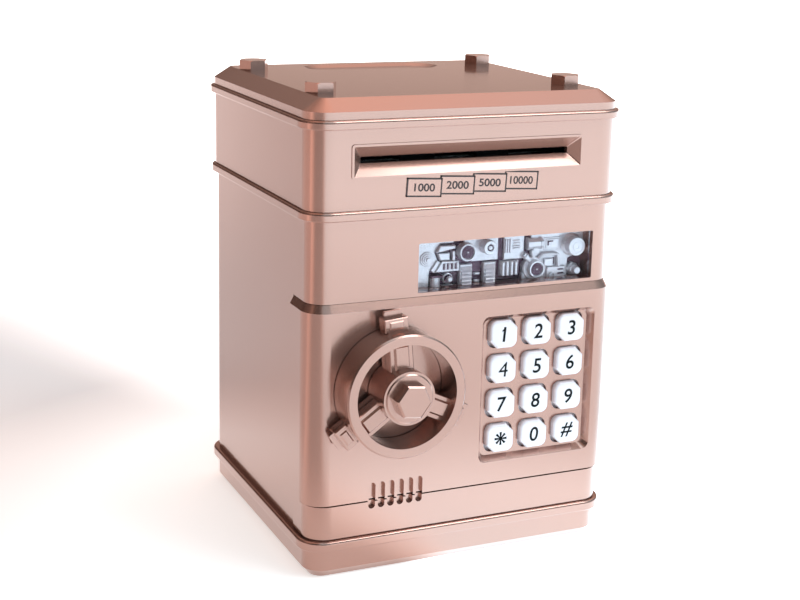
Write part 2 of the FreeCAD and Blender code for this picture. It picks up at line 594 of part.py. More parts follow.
def rollers(label, z):
    tyres = []
    for side in (-1, 1):
        span = (f"{side}*roller_x-7", f"{side}*roller_x+7")
        tyre = part_rod(f"{label}Tyre{side + 1}", "x", ("-feed_y", z), span, "roller_r")
        bore = part_rod(f"{label}Bore{side + 1}", "x", ("-feed_y", z), span, "shaft_r+0.01")
        tyres.append(minus(f"{label}Ring{side + 1}", tyre, bore))
    group(label, tyres)


def gear(label, teeth, at, bore, phase):
    """A spur gear of straight-sided teeth; phase, in degrees, turns its first tooth from +Y to +Z."""
    module, count = size("gear_module"), round(size(teeth))
    pitch_r, step = module * count / 2, 2 * math.pi / count
    corners = ((pitch_r - 1.2 * module, -0.31), (pitch_r + 0.9 * module, -0.13),
               (pitch_r + 0.9 * module, 0.13), (pitch_r - 1.2 * module, 0.31))
    points = []
    for tooth in range(count):
        for radius, offset in corners:
            angle = math.radians(phase) + step * (tooth + offset)
            points.append(FreeCAD.Vector(0, radius * math.cos(angle), radius * math.sin(angle)))
    low, high = size(GEAR_SPAN[0]), size(GEAR_SPAN[1])
    blank = Part.Face(Part.makePolygon(points + points[:1])).extrude(FreeCAD.Vector(high - low, 0, 0))
    axis = FreeCAD.Vector(1, 0, 0)
    if bore:
        blank = blank.cut(Part.makeCylinder(size(bore), high - low, FreeCAD.Vector(), axis))
    else:
        blank = blank.fuse(Part.makeCylinder(1.0, 14, FreeCAD.Vector(-10, 0, 0), axis)).removeSplitter()
    wheel = DOC.addObject("Part::Feature", label)
    wheel.Shape = blank
    node(wheel, label)
    bind(wheel, Placement__Base__x=GEAR_SPAN[0], Placement__Base__y=at[0], Placement__Base__z=at[1])


def feed_motor():
    body = new_body("feed_motor")
    rod(body, "Can", "x", (MOTOR_Y, MOTOR_Z), ("frame_x-25.1", "frame_x-0.1"), "9.8")
    for k, z in enumerate((f"{MOTOR_Z}-12", f"{MOTOR_Z}+7.6")):
        box(body, f"Flat{k}", ("0", "body_w"), ("-body_d", "body_d"), (z, f"{z}+4.4"), cut=True)
    rod(body, "Nose", "x", (MOTOR_Y, MOTOR_Z), ("frame_x-1", "frame_x+frame_t"), "3.1")
    rod(body, "Bore", "x", (MOTOR_Y, MOTOR_Z), ("frame_x-8", "frame_x+frame_t+1"), "1+run_gap", cut=True)


def note_deflector():
    """A slanting plate that turns the note down towards the cash compartment."""
    plate = DOC.addObject("Part::Box", "note_deflector")
    plate.Placement.Rotation = FreeCAD.Rotation(FreeCAD.Vector(1, 0, 0), 202)
    bind(plate, Length="2*frame_x", Width="1.2", Height="22", Placement__Base__x="-frame_x",
         Placement__Base__y="-feed_y+11", Placement__Base__z="pinch_z+3.7")
    node(plate, "note_deflector")


def control_board():
    body = new_body("control_board")
    box(body, "Board", ("-44", "50"), ("-46", "-44.4"), ("plate_top+0.05", "plate_top+24"))
    for k, (x, z, width, height) in enumerate(((-30, 120, 14, 10), (2, 124, 9, 9), (30, 118, 12, 7))):
        box(body, f"Chip{k}", (x, x + width), ("-44.5", "-42"), (z, z + height))


# ---- door ---------------------------------------------------------------------------------------

SPEAKER_X, SPEAKER_Z = "-vent_x", "47"
DOOR_SCREWS = [(-54, 37.5), (-54, 103), (-1.5, 37.5), (0, 103), (55.5, 105.2), (55.5, 35.2)]


def key_spots():
    """Each key's node name with its column and row, counted from the middle of the pad."""
    names = ("1", "2", "3", "4", "5", "6", "7", "8", "9", "star", "0", "hash")
    return [(f"key_{name}", k % 3 - 1, 1.5 - k // 3) for k, name in enumerate(names)]


def door_panel():
    body = new_body("door_panel")
    whole = ("floor_top+gap", "door_top")
    slab(body, "Shell", "XY", ("0", "0"), "2*door_half", "2*door_face", "corner",
         (whole[0], "door_top-door_bevel"))
    taper(body, "TopBevel", "XY", ("0", "0"), ("2*door_half", "2*door_face"),
          ("2*(door_half-door_bevel_in)", "2*(door_face-door_bevel_in)"), ("corner", "corner-door_bevel_in"),
          ("door_top-door_bevel", "door_top"))
    slab(body, "Hollow", "XY", ("0", "0"), "2*(door_half-wall)", "2*(door_face-wall)", "corner-wall",
         ("floor_top+gap+wall", "door_top-wall"), cut=True)
    wide = ("-body_w", "body_w")
    box(body, "Back", wide, ("-seam_y-0.3", "body_d"), ("0", "door_top+1"), cut=True)
    box(body, "Inner", ("-door_half+wall", "door_half-wall"), ("-liner_back", "body_d"),
        ("0", "door_top+1"), cut=True)
    box(body, "HingeClear", (f"{HINGE_X}-0.6", "body_w"), (HINGE_Y, "body_d"), ("0", "door_top+1"), cut=True)
    rod(body, "Barrel", "z", (HINGE_X, HINGE_Y), whole, "barrel_r")
    pin_spans = ((whole[0] + "-1", whole[0] + "+pin_len"), (whole[1] + "-pin_len", whole[1] + "+1"))
    for k, span in enumerate(pin_spans):
        rod(body, f"PinBore{k}", "z", (HINGE_X, HINGE_Y), span, "pin_r+run_gap", cut=True)
    keypad_recess(body)
    rod(body, "Bushing", "y", ("-wheel_x", "wheel_z"), ("-door_face+1", "-door_face+8"), "spindle_r+2.5")
    rod(body, "SpindleBore", "y", ("-wheel_x", "wheel_z"), ("-body_d", "-door_face+9"),
        "spindle_r+run_gap", cut=True)
    vents(body, "-door_face")
    for k, (x, z) in enumerate(DOOR_SCREWS):
        rod(body, f"LinerBoss{k}", "y", (x, z), ("-door_face+1", "-liner_back-liner_t"), "3.2")
        rod(body, f"LinerBore{k}", "y", (x, z), ("-liner_back-liner_t-8", "-40"), "screw_r+0.05", cut=True)


def keypad_recess(body):
    """The sunk field of the keys: a thicker wall behind it, its sloping sides and the key openings."""
    middle = ("pad_x", "pad_z")
    slab(body, "PadBack", "XZ", middle, "pad_w+2", "pad_h+2", "pad_deep",
         ("-door_face+1", "-door_face+pad_deep+2"))
    taper(body, "PadField", "XZ", middle, ("pad_w", "pad_h"), ("pad_w-2*pad_slope", "pad_h-2*pad_slope"),
          ("3", "2.4"), ("-door_face", "-door_face+pad_deep"), cut=True)
    for label, column, row in key_spots():
        spot = (f"key_x+{column}*key_dx", f"key_z+{row}*key_dz")
        slab(body, f"Opening_{label}", "XZ", spot, "key_w+2*key_gap", "key_h+2*key_gap", "key_r+key_gap",
             ("-door_face+1", "-door_face+pad_deep+3"), cut=True)


def cut_corners(body, span):
    """Take the upper right and lower left corners off a key cap, key_cut along each side."""
    half = "5"
    reach = "(key_w+key_h-2*key_cut)/2*sqrt(0.5)"
    for k, (side, angle) in enumerate(((1, -45), (-1, 135))):
        block = box(body, f"Corner{k}", ("0", half), span, ("0", f"2*{half}"), cut=True)
        block.Placement.Rotation = FreeCAD.Rotation(FreeCAD.Vector(0, 1, 0), angle)
        bind(block, Placement__Base__x=f"{side}*({reach}+{half})*sqrt(0.5)",
             Placement__Base__z=f"{side}*({reach}-{half})*sqrt(0.5)")


def keys():
    """Twelve keys with a stop flange behind the field and a stem towards the membrane."""
    floor_back = "-door_face+pad_deep+2"
    for label, column, row in key_spots():
        body = new_body(label, (f"key_x+{column}*key_dx", "0", f"key_z+{row}*key_dz"))
        here = ("0", "0")
        slab(body, "Cap", "XZ", here, "key_w", "key_h", "key_r", ("-key_front", f"{floor_back}+0.6"))
        cut_corners(body, ("-key_front-1", f"{floor_back}+0.7"))
        dress(body, "Fillet", "CapRound", "key_round",
              front_edges("-key_front", ("-key_w", "key_w"), ("-key_h", "key_h")))
        slab(body, "Flange", "XZ", here, "key_w+1.4", "key_h+1.4", "key_r",
             (f"{floor_back}+0.1", f"{floor_back}+1.1"))
        rod(body, "Stem", "y", here, (f"{floor_back}+1", f"{floor_back}+2"), "2")


def keypad_membrane():
    body = new_body("keypad_membrane")
    back = "-door_face+pad_deep+key_travel+4.2"
    slab(body, "Sheet", "XZ", ("pad_x", "pad_z"), "pad_w-1", "pad_h-1", "2", (back, f"{back}+1"))


def keypad_board():
    body = new_body("keypad_board")
    face = "-door_face+pad_deep+key_travel+5.3"
    slab(body, "Board", "XZ", ("pad_x", "pad_z"), "pad_w-1", "pad_h-1", "1", (face, f"{face}+1.6"))
    box(body, "Chip", ("pad_x-6", "pad_x+6"), (f"{face}+1.5", f"{face}+3.2"), ("pad_z-6", "pad_z+6"))


def door_liner():
    body = new_body("door_liner")
    box(body, "Plate", ("-door_half+wall+0.2", "door_half-barrel_r-4.6"),
        ("-liner_back-liner_t", "-liner_back"), ("floor_top+gap+wall+0.2", "door_top-wall-0.2"))
    rod(body, "SpindleHole", "y", ("-wheel_x", "wheel_z"), ("-body_d", "0"), "spindle_r+0.4", cut=True)
    for k, (x, z) in enumerate(DOOR_SCREWS):
        rod(body, f"ScrewHole{k}", "y", (x, z), ("-body_d", "0"), "screw_r+0.2", cut=True)


def door_screws():
    screws = []
    for k, (x, z) in enumerate(DOOR_SCREWS):
        head = part_rod(f"LinerHead{k}", "y", (x, z), ("-liner_back", "-liner_back+1.4"), "2.4")
        shank = part_rod(f"LinerShank{k}", "y", (x, z), ("-liner_back-8", "-liner_back+1"), "screw_r")
        screws.append(join(f"LinerScrew{k}", [head, shank]))
    group("door_screws", screws)


def hinge_pins():
    group("hinge_pins", [
        part_rod(name, "z", (HINGE_X, HINGE_Y), (f"{level}-pin_len+1", f"{level}+pin_len-1"), "pin_r")
        for name, level in (("UpperPin", "door_top"), ("LowerPin", "floor_top"))
    ])


def speaker():
    body = new_body("speaker")
    rod(body, "Rim", "y", (SPEAKER_X, SPEAKER_Z), ("-door_face+wall+0.1", "-door_face+wall+2.1"), "12.5")
    rod(body, "Basket", "y", (SPEAKER_X, SPEAKER_Z), ("-door_face+wall+2", "-door_face+wall+5.4"), "9")
    rod(body, "Magnet", "y", (SPEAKER_X, SPEAKER_Z), ("-door_face+wall+5.3", "-door_face+wall+8.4"), "6.5")
    rod(body, "Cone", "y", (SPEAKER_X, SPEAKER_Z), ("-door_face+wall", "-door_face+wall+1.2"), "10", cut=True)


# ---- wheel and latch ----------------------------------------------------------------------------

def wheel_slab(body, name, width, height, centre, span, turn):
    """A block on the wheel's face, turned about the wheel's own axis."""
    sketch = rounded_sketch(body, name + "Outline", "XZ", ("0", "0"), width, height, "0.5", span[1])
    angle = math.radians(turn)
    reach = size(centre)
    for name_end, part in (("x", math.cos(angle)), ("y", math.sin(angle))):
        sketch.setExpression(f"AttachmentOffset.Base.{name_end}", linked(f"({centre})*{part:.6f}"))
    sketch.AttachmentOffset = FreeCAD.Placement(
        FreeCAD.Vector(reach * math.cos(angle), reach * math.sin(angle), -size(span[1])),
        FreeCAD.Rotation(FreeCAD.Vector(0, 0, 1), turn))
    pad = body.newObject("PartDesign::Pad", name)
    pad.Profile = sketch
    return bind(pad, Length=f"({span[1]})-({span[0]})")


def hand_wheel():
    body = new_body("hand_wheel", ("-wheel_x", "-door_face", "wheel_z"))
    here, turn, middle = ("0", "0"), 95, "(spoke_r+hub_r-2)/2"
    rod(body, "Rim", "y", here, ("-rim_front", "-wheel_gap"), "rim_out")
    dress(body, "Chamfer", "RimEdge", "0.6", front_edges("-rim_front", ("-30", "30"), ("-30", "30")))
    rod(body, "Well", "y", here, ("-rim_front-1", "0"), "rim_in", cut=True)
    rod(body, "Hub", "y", here, ("-hub_front", "-wheel_gap"), "hub_r")
    for k in range(3):
        at = turn + 120 * k
        wheel_slab(body, f"Spoke{k}", "spoke_r-hub_r+2", "spoke_w", middle,
                   ("-spoke_front", "-wheel_gap-1.5"), at)
        wheel_slab(body, f"Panel{k}", "spoke_r-hub_r", "panel_w", f"{middle}-0.9",
                   ("-panel_front", "-spoke_front+1"), at)
        wheel_slab(body, f"Toe{k}", "3", "panel_w", "spoke_r+0.6", ("-spoke_front+1.6", "-wheel_gap-2.5"), at)
    rod(body, "SpindleSeat", "y", here, ("-hub_front+3", "1"), "spindle_r+0.02", cut=True)


NUT_TURN = 6.5


def hub_nut():
    nut = part_hex("NutBlock", "y", ("-wheel_x", "wheel_z"),
                   ("-door_face-hub_front-nut_h", "-door_face-hub_front"), "nut_across")
    nut.Placement.Rotation = nut.Placement.Rotation * FreeCAD.Rotation(FreeCAD.Vector(0, 0, 1), NUT_TURN)
    node(nut, "hub_nut")


def wheel_spindle():
    body = new_body("wheel_spindle")
    rod(body, "Shaft", "y", ("-wheel_x", "wheel_z"), ("-door_face-hub_front+3", "-liner_back+6.4"),
        "spindle_r")


def latch_tongue():
    """The tongue stands upright at rest, clear of the jamb, and swings behind it with the wheel."""
    body = new_body("latch_tongue")
    span = ("-seam_y+2.6", "-seam_y+4.4")
    box(body, "Tongue", ("-wheel_x-5", "-wheel_x+5"), span, ("wheel_z-6", "wheel_z+tongue_len"))
    rod(body, "Bore", "y", ("-wheel_x", "wheel_z"), ("-body_d", "0"), "spindle_r+0.02", cut=True)


def lock_cam():
    """A disc with two notches a quarter turn apart, one for each end of the wheel's travel."""
    body = new_body("lock_cam")
    span = ("-door_face+12", "-door_face+14.5")
    rod(body, "Disc", "y", ("-wheel_x", "wheel_z"), span, "cam_r")
    rod(body, "Bore", "y", ("-wheel_x", "wheel_z"), ("-body_d", "0"), "spindle_r+0.02", cut=True)
    low, high = "-notch_w/2", "notch_w/2"
    box(body, "OpenNotch", ("-wheel_x+cam_r-3.2", "-wheel_x+cam_r+1"), ("-body_d", "0"),
        (f"wheel_z{low}", f"wheel_z+{high}"), cut=True)
    box(body, "LockedNotch", (f"-wheel_x{low}", f"-wheel_x+{high}"), ("-body_d", "0"),
        ("wheel_z-cam_r-1", "wheel_z-cam_r+3.2"), cut=True)


PLUNGER_Y, PLUNGER_TIP = "-door_face+13.25", "-wheel_x+cam_r+2"


def lock_solenoid():
    body = new_body("lock_solenoid")
    box(body, "Coil", (f"{PLUNGER_TIP}+2", "0"), ("-door_face+8.4", "-liner_back-liner_t-0.1"),
        ("wheel_z-5.5", "wheel_z+5.5"))
    rod(body, "Bore", "x", (PLUNGER_Y, "wheel_z"), (PLUNGER_TIP, "-2"), "plunger_r+run_gap", cut=True)


def lock_plunger():
    body = new_body("lock_plunger")
    rod(body, "Rod", "x", (PLUNGER_Y, "wheel_z"), (PLUNGER_TIP, "-3"), "plunger_r")


# ---- build --------------------------------------------------------------------------------------

def main():
    fill_sheet()
    base_tray()
    battery_cover()
    node(join("battery_cover_screw", list(battery_cover_screw())), "battery_cover_screw")
    for make in (aa_cells, battery_contacts, base_screws, lower_housing, front_sill, upper_housing, top_lid,
                 lid_bolts, coin_chute, note_slot_bezel, denomination_label, window_pane, machinery_panel,
                 feed_frame, feed_frame_screws, feed_motor, note_deflector, control_board, door_panel,
                 door_liner, door_screws, hinge_pins, keys, keypad_membrane, keypad_board, speaker,
                 hand_wheel, hub_nut, wheel_spindle, latch_tongue, lock_cam, lock_solenoid, lock_plunger):
        make()
    feed_shaft("drive_shaft", "drive_z", ("-frame_x-3", GEAR_SPAN[1]))
    feed_shaft("pinch_shaft", "pinch_z", ("-frame_x-frame_t-0.4", "frame_x+frame_t+0.4"))
    rollers("drive_rollers", "drive_z")
    rollers("pinch_rollers", "pinch_z")
    gear("drive_gear", "gear_teeth", ("-feed_y", "drive_z"), "shaft_r+0.01", -60)
    gear("motor_pinion", "pinion_teeth", (MOTOR_Y, MOTOR_Z), None, 120 + 15)
    DOC.recompute()
    broken = [item.Name for item in DOC.Objects if {"Invalid", "Error"} & set(item.State)]
    broken += [item.Label for item in NODES if item.Shape.isNull() or not item.Shape.isValid()]
    if broken:
        raise SystemExit(f"failed: {broken}")
    os.makedirs("parts", exist_ok=True)
    for item in NODES:
        item.Shape.exportStep(f"parts/{item.Label}.step")
        print(f"{item.Label:22s} solids {len(item.Shape.Solids):2d} volume {item.Shape.Volume:10.1f}")


main()
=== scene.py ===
import math
import bmesh
import bpy
from mathutils import Matrix, Vector


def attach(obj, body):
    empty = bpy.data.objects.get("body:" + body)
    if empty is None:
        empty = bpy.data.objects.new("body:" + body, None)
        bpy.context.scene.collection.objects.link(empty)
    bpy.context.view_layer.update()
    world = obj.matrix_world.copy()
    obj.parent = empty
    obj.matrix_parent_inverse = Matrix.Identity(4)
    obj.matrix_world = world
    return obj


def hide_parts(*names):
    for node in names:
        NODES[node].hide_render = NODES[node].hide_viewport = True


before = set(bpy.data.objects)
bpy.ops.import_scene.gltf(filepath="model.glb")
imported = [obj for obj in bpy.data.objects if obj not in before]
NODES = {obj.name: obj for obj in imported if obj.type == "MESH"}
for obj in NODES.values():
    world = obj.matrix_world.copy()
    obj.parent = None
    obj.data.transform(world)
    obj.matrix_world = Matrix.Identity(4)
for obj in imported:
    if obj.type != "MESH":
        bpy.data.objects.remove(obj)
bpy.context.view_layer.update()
MM = 0.001


# ---- camera, light and floor --------------------------------------------------------------------

def add_camera():
    """The photograph's viewpoint: front left, a little above the lid, with a long lens."""
    data = bpy.data.cameras.new("camera")
    data.lens, data.sensor_width = 68.26, 36.0
    data.shift_x, data.shift_y = -0.0204, -0.0582
    data.clip_start = 0.01
    camera = bpy.data.objects.new("camera", data)
    camera.location = (-0.25667, -0.56823, 0.25745)
    yaw, pitch, roll = (math.radians(angle) for angle in (24.80, 13.148, 1.422))
    forward = Vector((math.sin(yaw) * math.cos(pitch), math.cos(yaw) * math.cos(pitch), -math.sin(pitch)))
    right = forward.cross(Vector((0, 0, 1))).normalized()
    up = right.cross(forward)
    side = right * math.cos(roll) + up * math.sin(roll)
    top = up * math.cos(roll) - right * math.sin(roll)
    turned = Matrix((side, top, -forward)).transposed().to_4x4()
    camera.matrix_world = Matrix.Translation(camera.location) @ turned
    bpy.context.scene.collection.objects.link(camera)
    bpy.context.scene.camera = camera


def add_area(name, place, target, size, power, colour):
    data = bpy.data.lights.new(name, "AREA")
    data.shape = "RECTANGLE"
    data.size, data.size_y = size
    data.energy, data.color = power, colour
    lamp = bpy.data.objects.new(name, data)
    lamp.location = place
    lamp.rotation_euler = (Vector(target) - Vector(place)).to_track_quat("-Z", "Y").to_euler()
    bpy.context.scene.collection.objects.link(lamp)


def ramp(tree, source, stops):
    """A smooth ramp: stops are (place, level) pairs, and a level is a grey or a colour."""
    node = tree.nodes.new("ShaderNodeValToRGB")
    node.color_ramp.interpolation = "EASE"
    elements = node.color_ramp.elements
    for _ in range(len(stops) - 2):
        elements.new(0.5)
    for element, (place, level) in zip(elements, stops):
        element.position = place
        element.color = (*(level if isinstance(level, tuple) else (level,) * 3), 1)
    tree.links.new(source, node.inputs["Fac"])
    return node.outputs["Color"]


def maths(tree, kind, first, second):
    node = tree.nodes.new("ShaderNodeMath")
    node.operation = kind
    for socket, value in zip(node.inputs, (first, second)):
        if isinstance(value, (int, float)):
            socket.default_value = value
        else:
            tree.links.new(value, socket)
    return node.outputs["Value"]


# The room's brightness round the object, by place in a turn from -X through -Y, +X and +Y back to -X.
ROOM_PEAK = 1.25
ROOM = [(0.0, 1.0), (0.03, 0.5), (0.065, 0.05), (0.155, 0.05), (0.2, 1.1), (0.24, 1.15), (0.4, ROOM_PEAK),
        (0.55, 1.25), (0.68, 1.2), (0.77, 0.75), (0.82, 0.13), (0.9, 0.3)]
# The room's light is cool at the front and right, warm on the left and behind, and brown in its dark part.
WARM, PALE, COOL, BROWN = (1.0, 0.69, 0.58), (1.0, 0.98, 0.96), (0.59, 0.86, 1.0), (1.0, 0.68, 0.52)
DARK_HUE = [(0.0, WARM), (0.06, BROWN), (0.15, BROWN), (0.2, COOL), (0.5, COOL)]
WALL_HUE = DARK_HUE + [(0.6, WARM), (1.0, WARM)]
FLOOR_HUE = DARK_HUE + [(0.62, PALE), (0.77, PALE), (0.82, WARM), (1.0, WARM)]
NEAR_HUE = [(0.0, PALE), (0.18, PALE), (0.26, COOL), (0.48, COOL), (0.6, PALE), (1.0, PALE)]
# How the walls' brightness changes with the sine of the height above the horizon.
WALL = [(0.0, 0.8), (0.22, 0.2), (0.45, 0.5), (0.7, 1.0), (1.0, 1.0)]
# The ceiling glows alike in every direction.
CEILING = [(0.0, 0.0), (0.7, 0.0), (0.92, 0.6), (1.0, 0.6)]
# Close to the object the floor has its own painted glow by place, out to these distances in metres.
NEAR_FLOOR = (0.14, 0.22)
NEAR_PEAK = 2.3
NEAR_ROOM = [(0.0, 0.6), (0.18, 0.6), (0.25, NEAR_PEAK), (0.48, NEAR_PEAK), (0.58, 0.8), (0.75, 0.6),
             (1.0, 0.6)]
# Far out its painted glow is brighter again, on every side.
FAR_FLOOR, FAR_GAIN = (0.35, 0.8), 1.0
FLOOR_GLOW = 0.9


def by_place(tree, coordinates, stops, peak=1.0):
    """A level or a colour that changes with the compass direction."""
    turn = tree.nodes.new("ShaderNodeTexGradient")
    turn.gradient_type = "RADIAL"
    tree.links.new(coordinates, turn.inputs["Vector"])
    if isinstance(stops[0][1], tuple):
        return ramp(tree, turn.outputs["Fac"], stops)
    shades = ramp(tree, turn.outputs["Fac"], [(at, level / peak) for at, level in stops])
    return maths(tree, "MULTIPLY", shades, peak)


def add_studio():
    """A horizon that changes round the object, under a ceiling that glows evenly, and one soft box."""
    world = bpy.data.worlds.new("studio")
    world.use_nodes = True
    tree = world.node_tree
    place = tree.nodes.new("ShaderNodeTexCoord").outputs["Generated"]
    height = tree.nodes.new("ShaderNodeSeparateXYZ")
    tree.links.new(place, height.inputs["Vector"])
    level, hue = by_place(tree, place, ROOM, ROOM_PEAK), by_place(tree, place, WALL_HUE)
    walls = maths(tree, "MULTIPLY", level, ramp(tree, height.outputs["Z"], WALL))
    tree.links.new(maths(tree, "ADD", walls, ramp(tree, height.outputs["Z"], CEILING)),
                   tree.nodes["Background"].inputs["Strength"])
    tree.links.new(hue, tree.nodes["Background"].inputs["Color"])
    bpy.context.scene.world = world
    middle = (0, 0, 0.1)
    add_area("key", (0.45, -0.52, 0.95), middle, (0.5, 0.5), 5, (0.9, 0.96, 1.0))
    bpy.context.scene.view_settings.view_transform = "Standard"


def add_floor():
    mesh = bpy.data.meshes.new("floor")
    reach = 30.0
    corners = [(-reach, -reach, 0), (reach, -reach, 0), (reach, reach, 0), (-reach, reach, 0)]
    mesh.from_pydata(corners, [], [(0, 1, 2, 3)])
    floor = bpy.data.objects.new("floor", mesh)
    bpy.context.scene.collection.objects.link(floor)
    material = bpy.data.materials.new("floor_painted_glow")
    material.use_nodes = True
    tree = material.node_tree
    surface = tree.nodes["Principled BSDF"]
    surface.inputs["Base Color"].default_value = (0.85, 0.85, 0.85, 1)
    surface.inputs["Roughness"].default_value = 0.7
    place = tree.nodes.new("ShaderNodeTexCoord").outputs["Object"]
    away = tree.nodes.new("ShaderNodeVectorMath")
    away.operation = "LENGTH"
    tree.links.new(place, away.inputs[0])
    beyond = []
    for span in (NEAR_FLOOR, FAR_FLOOR):
        outward = tree.nodes.new("ShaderNodeMapRange")
        outward.inputs["From Min"].default_value, outward.inputs["From Max"].default_value = span
        tree.links.new(away.outputs["Value"], outward.inputs["Value"])
        beyond.append(outward.outputs["Result"])
    # The floor glows with painted light. Its emission follows the room's brightness and hue round the object,
    # with a brighter pool in front and to the right close to it.
    gain = maths(tree, "ADD", maths(tree, "MULTIPLY", beyond[1], FAR_GAIN * FLOOR_GLOW), FLOOR_GLOW)
    level = maths(tree, "MULTIPLY", by_place(tree, place, ROOM, ROOM_PEAK), gain)
    near = by_place(tree, place, NEAR_ROOM, NEAR_PEAK)
    glow = maths(tree, "ADD", maths(tree, "MULTIPLY", beyond[0], maths(tree, "SUBTRACT", level, near)), near)
    tree.links.new(glow, surface.inputs["Emission Strength"])
    blend = tree.nodes.new("ShaderNodeMix")
    blend.data_type = "RGBA"
    colours = [socket for socket in blend.inputs if socket.type == "RGBA"]
    tree.links.new(beyond[0], blend.inputs["Factor"])
    for socket, hues in zip(colours, (NEAR_HUE, FLOOR_HUE)):
        tree.links.new(by_place(tree, place, hues), socket)
    tree.links.new(next(socket for socket in blend.outputs if socket.type == "RGBA"),
                   surface.inputs["Emission Color"])
    floor.data.materials.append(material)


# ---- materials ----------------------------------------------------------------------------------

def new_material(name, colour, roughness, metallic=0.0, **sockets):
    material = bpy.data.materials.new(name)
    material.use_nodes = True
    surface = material.node_tree.nodes["Principled BSDF"]
    surface.inputs["Base Color"].default_value = (*colour, 1)
    surface.inputs["Roughness"].default_value = roughness
    surface.inputs["Metallic"].default_value = metallic
    for socket, amount in sockets.items():
        surface.inputs[socket.replace("_", " ")].default_value = amount
    return material


def noise(tree, scale, detail):
    """Noise in the object's own space, in metres, so that its grain has a real size."""
    place = tree.nodes.new("ShaderNodeTexCoord")
    pattern = tree.nodes.new("ShaderNodeTexNoise")
    pattern.inputs["Scale"].default_value = scale
    pattern.inputs["Detail"].default_value = detail
    tree.links.new(place.outputs["Object"], pattern.inputs["Vector"])
    return pattern


def spread(tree, source, low, high, into):
    """Map the noise to a range and link it to a socket."""
    ranged = tree.nodes.new("ShaderNodeMapRange")
    ranged.inputs["From Min"].default_value = 0.3
    ranged.inputs["From Max"].default_value = 0.7
    ranged.inputs["To Min"].default_value = low
    ranged.inputs["To Max"].default_value = high
    tree.links.new(source.outputs["Fac"], ranged.inputs["Value"])
    tree.links.new(ranged.outputs["Result"], into)


def tint(tree, source, dark, light, into):
    mix = tree.nodes.new("ShaderNodeMix")
    mix.data_type = "RGBA"
    colours = [socket for socket in mix.inputs if socket.type == "RGBA"]
    colours[0].default_value = (*dark, 1)
    colours[1].default_value = (*light, 1)
    tree.links.new(source.outputs["Fac"], mix.inputs["Factor"])
    tree.links.new(next(socket for socket in mix.outputs if socket.type == "RGBA"), into)


def bump(tree, surface, source, depth, strength):
    raised = tree.nodes.new("ShaderNodeBump")
    raised.inputs["Distance"].default_value = depth
    raised.inputs["Strength"].default_value = strength
    tree.links.new(source.outputs["Fac"], raised.inputs["Height"])
    tree.links.new(raised.outputs["Normal"], surface.inputs["Normal"])


def grained(name, dark, light, rough, metallic=0.0, cloud=60, grain=3000, depth=0.00001, **sockets):
    """A painted, moulded or machined finish: shade changes, uneven gloss and a fine grain."""
    material = new_material(name, light, rough[0], metallic, **sockets)
    tree = material.node_tree
    surface = tree.nodes["Principled BSDF"]
    fine = noise(tree, grain, 2.0)
    tint(tree, noise(tree, cloud, 3.0), dark, light, surface.inputs["Base Color"])
    spread(tree, fine, *rough, surface.inputs["Roughness"])
    bump(tree, surface, fine, depth, 0.3)
    return material


MATERIALS = {
    "rose_shell": grained("rose_lacquer", (0.425, 0.220, 0.168), (0.445, 0.234, 0.181), (0.20, 0.26), 0.78,
                          cloud=35,
                          grain=6000, Coat_Weight=1.0, Coat_Roughness=0.09, Coat_IOR=1.4),
    "key_white": grained("key_plastic", (0.82, 0.71, 0.72), (0.85, 0.74, 0.75), (0.28, 0.36), grain=2500),
    "relief_silver": grained("relief_lacquer", (0.66, 0.60, 0.64), (0.80, 0.75, 0.79), (0.22, 0.32), 0.3,
                             cloud=300,
                             grain=5000),
    "dark_inner": grained("dark_plastic", (0.012, 0.010, 0.010), (0.022, 0.019, 0.019), (0.45, 0.6),
                          grain=2000),
    "steel": grained("bright_steel", (0.50, 0.50, 0.51), (0.60, 0.60, 0.60), (0.22, 0.34), 1.0, grain=4000),
    "rubber": grained("roller_rubber", (0.020, 0.020, 0.022), (0.035, 0.034, 0.036), (0.7, 0.85), grain=2500),
    "board": grained("circuit_board", (0.010, 0.085, 0.030), (0.016, 0.12, 0.045), (0.35, 0.5), cloud=500),
    "clear_pane": grained("clear_pane", (0.96, 0.96, 0.97), (0.99, 0.99, 1.0), (0.02, 0.04), cloud=20,
                          grain=300,
                          depth=0.000002, Transmission_Weight=1.0, IOR=1.12),
    "cell_wrap": grained("cell_wrap", (0.04, 0.045, 0.06), (0.06, 0.07, 0.09), (0.3, 0.4)),
    "nickel": grained("nickel_plate", (0.60, 0.57, 0.52), (0.70, 0.67, 0.61), (0.2, 0.32), 1.0),
    "brass": grained("brass", (0.62, 0.42, 0.16), (0.72, 0.50, 0.20), (0.25, 0.36), 1.0),
}
PRINT_BLACK = grained("print_black", (0.003, 0.003, 0.003), (0.006, 0.006, 0.006), (0.55, 0.65),
                      Specular_IOR_Level=0.15)
PRINT_BROWN = grained("print_brown", (0.030, 0.012, 0.010), (0.045, 0.020, 0.016), (0.45, 0.55))
# Painted shade for the relief: a dark mauve laid in its grooves, gaps and recesses, where the silver lies in
# shade.
RELIEF_PAINTED_SHADE = grained("relief_painted_shade", (0.075, 0.035, 0.055), (0.12, 0.06, 0.085), (0.3, 0.4), 0.5, cloud=250)


def paint_nodes():
    """Every CAD node takes the finish of its own material slot."""
    for name, item in NODES.items():
        item.data.materials.clear()
        item.data.materials.append(MATERIALS[NODE_SLOTS[name]])


